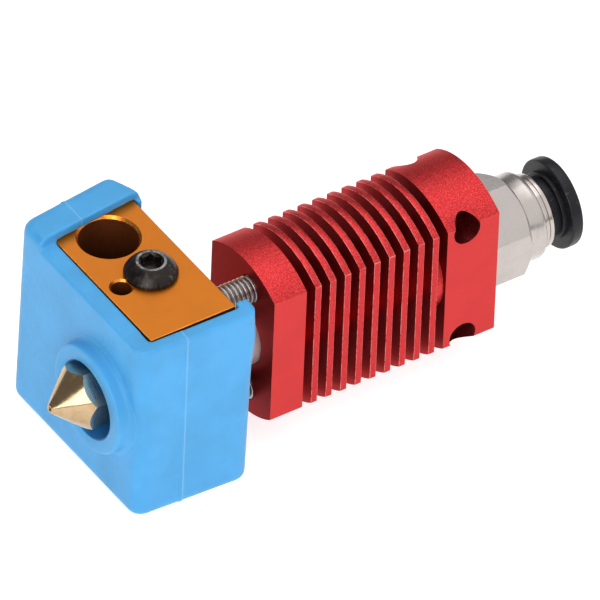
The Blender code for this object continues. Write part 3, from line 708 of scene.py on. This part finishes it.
class HOTEND_OT_heatsink(PieceOperator):
    """Build the heatsink's two solid ends and its turned core"""

    bl_idname = "hotend.heatsink"
    bl_label = "Heatsink"

    def build(self, size):
        start, stop = SINK_LOW.x, SINK_HIGH.x
        sink = as_object("heatsink_body", flatted_bar(start, stop), "red_anodised", "red_edge", "red_bore",
                         "red_flat", "red_end")
        last_fin = start + size.first_fin + (size.fin_count - 1) * size.fin_pitch
        last_gap = last_fin + size.fin_thickness / 2
        outer = SINK_HIGH.z + PAST
        cut(sink, turned([
            (start + size.flange, size.core), (start + size.flange, outer),
            (start + size.top_block, outer), (start + size.top_block, size.last_core),
            (last_gap, size.last_core), (last_gap, size.core),
        ]))

        barrel_room, spigot_room, fitting_room = 3.6 * MM, 2.9 * MM, 3.1 * MM
        barrel_end, spigot_end = BREAK_HIGH.x - SPIGOT, BREAK_HIGH.x + 0.2 * MM
        fitting_end = BODY_LOW.x - 0.2 * MM
        bores = turned([
            (start - PAST, 0), (start - PAST, barrel_room), (barrel_end, barrel_room),
            (barrel_end, spigot_room), (spigot_end, spigot_room), (spigot_end, LINER_ROOM),
            (fitting_end, LINER_ROOM), (fitting_end, fitting_room), (stop + PAST, fitting_room),
            (stop + PAST, 0),
        ], MEDIUM)
        for name in STUDS:
            rod(start - PAST, STUD_HIGH.x + 0.2 * MM, STUD_RADIUS + 0.08 * MM, MEDIUM, line_of(name),
                into=bores)
        for side in (-1, 1):
            rod(SINK_LOW.y - PAST, SINK_HIGH.y + PAST, size.mount_hole, MEDIUM,
                (0, 0, side * size.mount_spacing), "Y", bores)
        # The bores' walls take the darker red, a painted shade.
        cut(sink, bores, slot=BORE)
        break_edges(sink, size.sink_edge, edge_slot=EDGE)
        flat, shaded_end = 3, 4
        for face in sink.data.polygons:
            # The flats take a paler, pinker red: a painted reflection.
            if face.material_index == SKIN and abs(face.normal.y) > 0.99:
                face.material_index = flat
            # Faces that look toward the nozzle take a darker red, a painted shade.
            if face.material_index == SKIN and face.normal.x < -0.99:
                face.material_index = shaded_end
        place_piece(sink, HOTEND, "heatsink_red", "heatsink")


class HOTEND_OT_fins(PieceOperator):
    """Build the heatsink's fins, one plate repeated along the core"""

    bl_idname = "hotend.fins"
    bl_label = "Heatsink fins"

    def build(self, size):
        start = SINK_LOW.x + size.first_fin
        fins = as_object("heatsink_fins", flatted_bar(start, start + size.fin_thickness), "red_anodised")
        cut(fins, rod(start - PAST, start + size.fin_thickness + PAST, size.core - 0.02 * MM))
        run_tree(fins, row_tree(), Count=size.fin_count, Pitch=size.fin_pitch,
                 Material=finish_named("red_anodised"))
        for finish in ("red_edge", "red_side"):
            fins.data.materials.append(finish_named(finish))
        break_edges(fins, size.sink_edge * 0.8, edge_slot=EDGE)
        # The fins' side faces take a darker red, a painted shade for the gaps between fins.
        side = 2
        for face in fins.data.polygons:
            if face.material_index == SKIN and abs(face.normal.x) > 0.99:
                face.material_index = side
        place_piece(fins, HOTEND, "heatsink_red", "heatsink")


class HOTEND_OT_heater_block(PieceOperator):
    """Build the drilled heater block"""

    bl_idname = "hotend.heater_block"
    bl_label = "Heater block"

    def build(self, size):
        solid = bmesh.new()
        add_box(solid, BLOCK_LOW, BLOCK_HIGH)
        block = as_object("heater_block_body", solid, "orange_anodised", "orange_edge", "orange_bore",
                          "orange_soot")
        break_edges(block, size.block_edge, edge_slot=EDGE)
        top = BLOCK_HIGH.z
        clamp, grub = middle_of("thermistor_clamp_screw"), line_of("heater_set_screw")
        clamp.z = 0
        heater = Vector((BLOCK_LOW.x + 4.85 * MM, AXIS.y + 9.1 * MM, 0))
        probe = Vector((BLOCK_LOW.x + 1.85 * MM, AXIS.y + 2.2 * MM, 0))
        nozzle_hole, clamp_hole, clamp_depth, grub_hole = 3.2 * MM, 1.45 * MM, 5.8 * MM, 1.6 * MM
        through = BLOCK_LOW.x - PAST, BLOCK_HIGH.x + PAST
        drilled = rod(*through, nozzle_hole)
        for name in STUDS:
            rod(*through, STUD_RADIUS + 0.1 * MM, MEDIUM, line_of(name), into=drilled)
        for place, radius, chamfer, depth in ((heater, 3.05 * MM, 0.30 * MM, 21 * MM),
                                              (probe, 1.05 * MM, 0.22 * MM, 6 * MM)):
            mouth = radius + chamfer * 0.8
            turned([(top - depth, 0), (top - depth, radius), (top - chamfer, radius), (top, mouth),
                    (top + PAST, mouth), (top + PAST, 0)], FINE, place, "Z", drilled)
        rod(top - clamp_depth, top + PAST, clamp_hole, MEDIUM, clamp, "Z", drilled)
        # The bores' walls take the dark brown, a painted shade.
        cut(block, drilled, slot=BORE)
        cut(block, rod(BLOCK_LOW.x - PAST, heater.x, grub_hole, MEDIUM, grub), slot=BORE)
        # The block's near and front faces are painted near black, a painted shade standing in for the shade
        # in the sock's gaps.
        shaded_face = 3
        for face in block.data.polygons:
            # Bore chamfers take the lighter edge colour, a painted highlight for their lit rims.
            if face.material_index == BORE and 0.3 < face.normal.z < 0.95:
                face.material_index = EDGE
            elif face.material_index == SKIN and (face.normal.y < -0.9 or face.normal.x < -0.9):
                face.material_index = shaded_face
        place_piece(block, HOTEND, "block_orange", "heater_block")


class HOTEND_OT_nozzle(PieceOperator):
    """Build the brass nozzle"""

    bl_idname = "hotend.nozzle"
    bl_label = "Nozzle"

    def build(self, size):
        tip, end = NOZZLE_LOW.x, NOZZLE_HIGH.x
        seat = BLOCK_LOW.x - 0.05 * MM
        corner, thread, bore, orifice = 3.464 * MM, 2.85 * MM, 1.0 * MM, 0.20 * MM
        nozzle = as_object("nozzle_body", turned([
            (tip + 0.06 * MM, orifice), (tip, 0.27 * MM), (tip, 0.44 * MM), (tip + 0.05 * MM, 0.50 * MM),
            (tip + 3.4 * MM, corner), (seat - 0.25 * MM, corner), (seat, corner - 0.25 * MM),
            (seat, thread), (end, thread), (end, bore), (tip + 1.87 * MM, bore), (tip + 0.5 * MM, orifice),
        ]), "brass", "brass_flat")
        # The hex flats take the blue-green brass, a painted reflection.
        cut(nozzle, hex_mill(6 * MM, corner + PAST, tip + 0.5 * MM, seat + 0.2 * MM, math.radians(-11.5)),
            slot=1)
        break_edges(nozzle, 0.05 * MM, angle=24)
        place_piece(nozzle, HOTEND, "nozzle_brass", "nozzle", angle=20)


class HOTEND_OT_heat_break(PieceOperator):
    """Build the heat break's barrel and spigot, and dress the liner inside it"""

    bl_idname = "hotend.heat_break"
    bl_label = "Heat break and liner"

    def build(self, size):
        start, end = BREAK_LOW.x, BREAK_HIGH.x
        barrel_start, barrel_end = BLOCK_HIGH.x + 0.1 * MM, end - SPIGOT
        thread, barrel, spigot = 2.9 * MM, 3.5 * MM, 2.75 * MM
        outline = round_outline([
            (start, LINER_ROOM), (start, thread), (barrel_start, thread), (barrel_start, barrel),
            (barrel_end, barrel), (barrel_end, spigot), (end, spigot), (end, LINER_ROOM),
        ], [0, 0.3 * MM, 0, 0.25 * MM, 0.2 * MM, 0, 0.2 * MM, 0])
        tube = as_object("heat_break_tube", turned(outline), "stainless")
        place_piece(tube, HOTEND, "heat_break_steel", "heat_break")
        dress("ptfe_liner", "liner_ptfe")


class HOTEND_OT_studs(PieceOperator):
    """Build the two threaded studs and dress the set screw"""

    bl_idname = "hotend.studs"
    bl_label = "Threaded studs"

    def build(self, size):
        tree = thread_tree()
        start, end = STUD_LOW.x, STUD_HIGH.x
        rows_a_turn, sides = 12, 48
        rows = int((end - start) / (size.thread_pitch / rows_a_turn))
        profile = [(start, 0), (start, STUD_RADIUS * 0.75)]
        profile += [(start + (end - start) * row / rows, STUD_RADIUS) for row in range(rows + 1)]
        profile += [(end, STUD_RADIUS * 0.75), (end, 0)]
        socket_flats, socket_depth = 1.5 * MM, 1.5 * MM
        for name in STUDS:
            line = line_of(name)
            stud = as_object(name + "_thread", turned(profile, sides, line), name + "_steel")
            run_tree(stud, tree, Centre=Vector((start, line.y, line.z)), Pitch=size.thread_pitch,
                     Depth=size.thread_depth, Material=finish_named(name + "_steel"))
            cut(stud, rod(start - PAST, start + socket_depth, socket_flats / math.sqrt(3), 6, line))
            place_piece(stud, HOTEND, "stud_steel", name, angle=60)
        dress("heater_set_screw", "black_oxide")


class HOTEND_OT_clamp_screw(PieceOperator):
    """Build the button-head screw that clamps the temperature probe"""

    bl_idname = "hotend.clamp_screw"
    bl_label = "Clamp screw"

    def build(self, size):
        middle = (CLAMP_LOW + CLAMP_HIGH) / 2
        middle.z = 0
        seat, top = BLOCK_HIGH.z + 0.03 * MM, CLAMP_HIGH.z
        head, flat, shank = (CLAMP_HIGH.x - CLAMP_LOW.x) / 2, 1.55 * MM, 1.2 * MM
        rim = seat + 0.35 * MM
        below = (head ** 2 - flat ** 2 - (top - rim) ** 2) / (2 * (top - rim))
        ball = math.hypot(flat, below + (top - rim))
        first, last = math.asin(head / ball), math.asin(flat / ball)
        dome, steps = [], 16
        for step in range(steps + 1):
            turn = first + (last - first) * step / steps
            dome.append((top + (math.cos(turn) - math.cos(last)) * ball, ball * math.sin(turn)))
        profile = [(CLAMP_LOW.z, 0), (CLAMP_LOW.z, shank), (seat, shank), (seat, head - 0.12 * MM),
                   (seat + 0.12 * MM, head), *dome, (top, 0)]
        screw = as_object("clamp_screw_head", turned(profile, FINE, middle, "Z"), "black_oxide", "socket_rim")
        socket_depth, socket_corner = 1.05 * MM, 1.20 * MM
        cut(screw, rod(top - socket_depth, top + PAST, socket_corner, 6, middle, "Z"))
        cut(screw, turned([(top - 0.26 * MM, 0), (top - 0.26 * MM, 1.08 * MM), (top + 0.1 * MM, 1.36 * MM),
                           (top + 0.1 * MM, 0)], FINE, middle, "Z"))
        break_edges(screw, 0.05 * MM, angle=28, edge_slot=EDGE)
        # The flat land round the socket takes the lighter rim colour: worn oxide and a painted highlight.
        for face in screw.data.polygons:
            if face.normal.z > 0.95 and face.center.z > top - 0.01 * MM:
                face.material_index = EDGE
        place_piece(screw, HOTEND, "screw_black", "thermistor_clamp_screw")


class HOTEND_OT_sock(PieceOperator):
    """Build the moulded silicone sock"""

    bl_idname = "hotend.sock"
    bl_label = "Silicone sock"

    def build(self, size):
        sock = self.shell(size)
        self.open_up(sock)
        remesh = sock.modifiers.new("Moulded skin", "REMESH")
        remesh.mode = "VOXEL"
        remesh.voxel_size = size.sock_voxel
        smooth = sock.modifiers.new("Soft edges", "SMOOTH")
        smooth.factor = 0.5
        smooth.iterations = 3
        settle(sock)
        self.bulge(sock)
        self.parting_line(sock)
        sock.data.materials.clear()
        for finish in ("blue_silicone", "blue_bore"):
            sock.data.materials.append(finish_named(finish))
        self.boss(sock)
        sock.data.shade_smooth()
        sock.data.set_sharp_from_angle(angle=math.radians(50))
        place_piece(sock, HOTEND, "sock_silicone", "silicone_sock", angle=None)

    def shell(self, size):
        """The outside: a rounded box, a little wider at its back, with its far back corner cut off."""
        back, far, slant = SOCK_HIGH.x, SOCK_HIGH.y, SOCK_HIGH.x - 0.85 * MM
        corners = [  # x and y of each upright edge, and how its lower end differs
            (SOCK_FRONT, AXIS.y - 7.4 * MM, 0, 0), (back, SOCK_LOW.y, -0.5 * MM, 0),
            (slant, far - 3.3 * MM, -0.5 * MM, 0), (slant - 1.4 * MM, far, -0.5 * MM, 0),
            (SOCK_FRONT, AXIS.y + 14.7 * MM, 0, 0.7 * MM)]
        shell = bmesh.new()
        rings = [[shell.verts.new((x + dx * part, y + dy * part, z)) for x, y, dx, dy in corners]
                 for part, z in ((1, SOCK_LOW.z), (0, SOCK_HIGH.z))]
        for ring in rings:
            shell.faces.new(ring)
        for place in range(5):
            after = (place + 1) % 5
            shell.faces.new((rings[0][place], rings[0][after], rings[1][after], rings[1][place]))
        sock = as_object("sock_moulding", shell, "blue_silicone")
        weights = sock.data.attributes.new("bevel_weight_edge", "FLOAT", "EDGE")
        for edge in sock.data.edges:
            start, end = (sock.data.vertices[index].co for index in edge.vertices)
            if abs(start.z - end.z) > 10 * MM:
                weights.data[edge.index].value = 1.0 if start.x < BLOCK_LOW.x or start.y < AXIS.y else 0.6
        for limit, width in (("WEIGHT", size.sock_corners), ("ANGLE", size.sock_rounding)):
            rounding = sock.modifiers.new("Rounding", "BEVEL")
            rounding.limit_method = limit
            rounding.width = width
            rounding.segments = 8
            settle(sock)
        return sock

    def open_up(self, sock):
        """The inside: the room for the block, and the open top and back. A lip stays over the block's
        far edge, and the near wall drops towards its back."""
        top = BLOCK_HIGH.z
        front, back = SOCK_FRONT - PAST, SOCK_HIGH.x + PAST
        near, far = BLOCK_LOW.y - 0.32 * MM, BLOCK_HIGH.y + 0.2 * MM
        low, high = BLOCK_LOW.z - 0.2 * MM, SOCK_HIGH.z + PAST
        inside_front, inside_back = BLOCK_LOW.x - 0.16 * MM, BLOCK_HIGH.x + 0.2 * MM
        wall_front, wall_back = top + 0.10 * MM, top - 0.5 * MM
        lip_front, lip_back = AXIS.y + 10.8 * MM, AXIS.y + 12.6 * MM
        rooms = {
            "above": ((front, SOCK_LOW.y - PAST, top + 0.02 * MM), (back, lip_back, high)),
            "block": ((inside_front, near, low), (inside_back, far, top + 0.1 * MM)),
            "near_wall": ((front, SOCK_LOW.y - PAST, wall_front), (back, near + 3 * MM, top + PAST)),
            "mouth": ((inside_back - PAST, near + 0.8 * MM, low + 1.6 * MM), (back, far - 2.2 * MM, high)),
        }
        for name, (lowest, highest) in rooms.items():
            room = bmesh.new()
            for corner in add_box(room, lowest, highest):
                at_front, at_far = corner.co.x < BLOCK_LOW.x, corner.co.y > AXIS.y
                if name == "above" and at_far and at_front:  # the lip widens towards the nozzle
                    corner.co.y = lip_front
                elif name == "near_wall" and not at_front and corner.co.z < top:
                    corner.co.z = wall_back
                elif name == "block" and at_front and at_far:  # the sock fits closest at its front
                    corner.co.x = BLOCK_LOW.x - 0.04 * MM
                elif name == "block" and at_front:
                    corner.co.y = BLOCK_LOW.y - 0.10 * MM
            cut(sock, room)

    def boss(self, sock):
        """The ring that stands round the nozzle, with a soft foot and a crisp face, and its hole."""
        front, root = SOCK_FRONT, SOCK_FRONT + 0.6 * MM
        wall, foot, mouth, hole = 5.85 * MM, 0.7 * MM, 4.3 * MM, 4.15 * MM
        outline = [(root, 0), (BOSS_END, 0)]
        outline += rounded((BOSS_END, wall - 0.05 * MM), (BOSS_END, 0), (front, wall), 0.28 * MM)
        for step in range(9):
            turn = math.radians(76) * step / 8
            outline.append((front - foot * (1 - math.sin(turn)), wall + foot * (1 - math.cos(turn))))
        outline.append((root, wall + foot))
        cut(sock, turned(outline, centre=BOSS_CENTRE), "UNION")
        cut(sock, turned([
            (BOSS_END - PAST, 0), (BOSS_END - PAST, mouth), (BOSS_END, mouth),
            (BOSS_END + 0.15 * MM, hole), (BLOCK_LOW.x, hole), (BLOCK_LOW.x, 0),
        ], centre=BOSS_CENTRE), slot=1)  # the hole's inside is painted a darker, deeper blue, a painted shade

    def bulge(self, sock):
        """Swells the near wall's back edge a little, below the block's top."""
        wall, fullest, spread, swell = 1.6 * MM, BLOCK_HIGH.z - 3.6 * MM, 2.4 * MM, 0.28 * MM
        for vertex in sock.data.vertices:
            if vertex.co.x > SOCK_HIGH.x - wall and vertex.co.y < AXIS.y:
                height = (vertex.co.z - fullest) / spread
                vertex.co.x += swell * math.exp(-height * height)

    def parting_line(self, sock):
        """Raises the thin line where the two halves of the mould met, all round the outside."""
        middle = (SOCK_LOW + SOCK_HIGH) / 2
        half_width, rise = 0.16 * MM, 0.10 * MM
        for vertex in sock.data.vertices:
            away = (vertex.co.x - SEAM) / half_width
            outward = vertex.co - middle
            outward.x = 0
            if abs(away) < 3 and abs(vertex.normal.x) < 0.6 and vertex.normal.dot(outward.normalized()) > 0.3:
                raised = vertex.co + vertex.normal * (rise * math.exp(-away * away))
                vertex.co = [min(max(value, low), high)
                             for value, low, high in zip(raised, SOCK_LOW, SOCK_HIGH)]


class HOTEND_OT_fitting(PieceOperator):
    """Build the fitting's hexagon body and its bush, and dress the seal and ring inside"""

    bl_idname = "hotend.fitting"
    bl_label = "Push-fit fitting"

    def build(self, size):
        seat = FITTING_SEAT
        flats, collar = 9.7 * MM, 4.65 * MM
        corner = flats / math.sqrt(3)
        thread_end, hexagon_end, collar_end = seat - 4.7 * MM, seat + 4.15 * MM, seat + 6.9 * MM
        thread, mouth, claw_room, seal_room = 2.9 * MM, 3.95 * MM, 3.45 * MM, 3.15 * MM
        mouth_end, claw_end, seal_end = seat + 4.9 * MM, seat + 1.9 * MM, seat + 0.7 * MM
        outer = round_outline([
            (thread_end, thread), (seat, thread), (seat, corner - 0.35 * MM), (seat + 0.35 * MM, corner),
            (hexagon_end, corner), (hexagon_end + 0.8 * MM, collar - 0.12 * MM),
            (collar_end, collar - 0.02 * MM), (collar_end, mouth),
        ], [0.3 * MM, 0, 0, 0, 0, 0, 0.55 * MM, 0.1 * MM])
        inner = [
            (mouth_end, mouth), (mouth_end, claw_room), (claw_end, claw_room), (claw_end, seal_room),
            (seal_end, seal_room), (seal_end, LINER_ROOM), (thread_end, LINER_ROOM),
        ]
        body = as_object("fitting_hexagon", turned(outer + inner), "nickel")
        cut(body, hex_mill(flats, corner + PAST, seat - PAST, mouth_end, math.radians(-6.2)))
        break_edges(body, 0.06 * MM, angle=24)
        place_piece(body, HOTEND, "fitting_nickel", "fitting_body", angle=22)

        wall, flange, groove = 3.65 * MM, 3.95 * MM, 3.85 * MM
        outline = round_outline([
            (BUSH_LOW.x, 3.4 * MM), (BUSH_LOW.x, wall), (seat + 6.95 * MM, wall),
            (seat + 6.95 * MM, flange), (seat + 7.3 * MM, flange), (seat + 7.38 * MM, groove),
            (seat + 7.5 * MM, groove), (seat + 7.58 * MM, flange), (BUSH_HIGH.x, flange),
            (BUSH_HIGH.x, 3.4 * MM),
        ], [0, 0, 0, 0.08 * MM, 0, 0, 0, 0, 0.22 * MM, 0.1 * MM])
        bush = as_object("fitting_bush_ring", turned(outline), "bush_nickel")
        place_piece(bush, HOTEND, "fitting_nickel", "fitting_bush")
        dress("tube_seal", "seal_rubber")
        dress("seal_backup_ring", "black_plastic")


class HOTEND_OT_release_sleeve(PieceOperator):
    """Build the black release collar and dress the claw that moves with it"""

    bl_idname = "hotend.release_sleeve"
    bl_label = "Release sleeve"

    def build(self, size):
        start, end = COLLAR_LOW.x, COLLAR_HIGH.x
        ring, dish = end - 1.32 * MM, end - 0.25 * MM
        hub = ring - 0.4 * MM
        rim, sleeve = (COLLAR_HIGH.z - COLLAR_LOW.z) / 2, 3.15 * MM
        outline = round_outline([
            (start, LINER_ROOM), (start, sleeve), (hub, sleeve), (hub, 3.55 * MM), (ring, 3.6 * MM),
            (ring, rim), (end, rim), (end, 3.3 * MM), (dish, 2.9 * MM), (dish, LINER_ROOM),
        ], [0, 0.1 * MM, 0, 0.1 * MM, 0, 0.25 * MM, 0.35 * MM, 0.1 * MM, 0, 0.4 * MM])
        collar = as_object("release_collar_ring", turned(outline), "black_plastic")
        place_piece(collar, RELEASE_SLEEVE, "collar_black", "release_collar")
        dress("grip_claw", "stainless")


# ---------------------------------------------------------------- stage


class HOTEND_OT_stage(PieceOperator):
    """Build the pale floor, the soft lights and the camera"""

    bl_idname = "hotend.stage"
    bl_label = "Studio"

    def build(self, size):
        scene = bpy.context.scene
        scene.view_settings.view_transform = "Standard"
        self.floor()
        self.world(scene)
        self.camera(scene)
        self.lamp("key", (0.26, -0.24, 0.52), 1.35, 5.2)
        self.lamp("left", (-0.48, -0.40, 0.30), 0.50, 3.0)
        self.lamp("top", (0.0, 0.25, 0.60), 0.80, 2.2)

    def camera(self, scene):
        """A very long lens, from above and in front of the mounting flat and the nozzle."""
        right = Vector((0.8351, -0.5492, 0.0316)).normalized()
        forward = Vector((0.4294, 0.6149, -0.6615)).normalized()
        up = right.cross(forward).normalized()
        target = Vector((SINK_LOW.x, AXIS.y, AXIS.z)) + (right * 5.80 * MM + up * 3.0 * MM)
        lens, sensor, width_seen = 1500.0, 36.0, 59.24 * MM
        distance = width_seen * lens / sensor
        data = bpy.data.cameras.new("camera")
        data.lens = lens
        data.sensor_width = sensor
        data.clip_start = 0.01
        data.clip_end = distance * 3
        camera = bpy.data.objects.new("camera", data)
        axes = Matrix((right, up, -forward)).transposed().to_4x4()
        camera.matrix_world = Matrix.Translation(target - forward * distance) @ axes
        scene.collection.objects.link(camera)
        scene.camera = camera

    def floor(self):
        plate = bmesh.new()
        bmesh.ops.create_grid(plate, x_segments=1, y_segments=1, size=3.0)
        bmesh.ops.translate(plate, verts=plate.verts, vec=(0, 0, CAD_BOX[0].z))
        floor = as_object("floor", plate)
        finish = Finish("studio_floor", (0.50, 0.50, 0.50), 0.7, 0.0, **{
            "Emission Color": (1, 1, 1, 1), "Emission Strength": 0.74})
        cloud = finish.noise(0.05, 2.0)
        finish.set(base=finish.mix(cloud, (0.48, 0.48, 0.48), (0.52, 0.52, 0.52)))
        floor.data.materials.append(finish.material)

    def world(self, scene):
        world = bpy.data.worlds.new("studio")
        world.use_nodes = True
        background = world.node_tree.nodes["Background"]
        background.inputs["Color"].default_value = (1, 1, 1, 1)
        background.inputs["Strength"].default_value = 0.20
        scene.world = world

    def lamp(self, name, place, side, watts):
        """A square softbox that faces the object."""
        data = bpy.data.lights.new(name, "AREA")
        data.size = side
        data.energy = watts
        lamp = bpy.data.objects.new(name, data)
        lamp.location = place
        aim = (CAD_BOX[0] + CAD_BOX[1]) / 2 - Vector(place)
        lamp.rotation_mode = "QUATERNION"
        lamp.rotation_quaternion = aim.to_track_quat("-Z", "Y")
        bpy.context.scene.collection.objects.link(lamp)


# ---------------------------------------------------------------- panel and registration

OPERATORS = (
    HOTEND_OT_heatsink, HOTEND_OT_fins, HOTEND_OT_heater_block, HOTEND_OT_nozzle, HOTEND_OT_heat_break,
    HOTEND_OT_studs, HOTEND_OT_clamp_screw, HOTEND_OT_sock, HOTEND_OT_fitting, HOTEND_OT_release_sleeve,
    HOTEND_OT_stage,
)


class HOTEND_PT_panel(bpy.types.Panel):
    """Lists the pieces, their sizes and their colours"""

    bl_idname = "HOTEND_PT_panel"
    bl_label = "Hotend Assembly"
    bl_space_type = "VIEW_3D"
    bl_region_type = "UI"
    bl_category = "Hotend"

    def draw(self, context):
        layout = self.layout
        for operator in OPERATORS:
            layout.operator(operator.bl_idname)
        scene = context.scene
        for title, group in (("Sizes", scene.hotend_sizes), ("Colours", scene.hotend_colours)):
            box = layout.box()
            box.label(text=title)
            for name in group.bl_rna.properties.keys():
                if name not in ("rna_type", "name"):
                    box.prop(group, name)


CLASSES = (HotendSizes, HotendColours, *OPERATORS, HOTEND_PT_panel)


def register():
    for cls in CLASSES:
        bpy.utils.register_class(cls)
    bpy.types.Scene.hotend_sizes = bpy.props.PointerProperty(type=HotendSizes)
    bpy.types.Scene.hotend_colours = bpy.props.PointerProperty(type=HotendColours)


def unregister():
    del bpy.types.Scene.hotend_colours
    del bpy.types.Scene.hotend_sizes
    for cls in reversed(CLASSES):
        bpy.utils.unregister_class(cls)


def main():
    register()
    for operator in OPERATORS:
        group, name = operator.bl_idname.split(".")
        getattr(getattr(bpy.ops, group), name)()


if __name__ == "__main__":
    main()
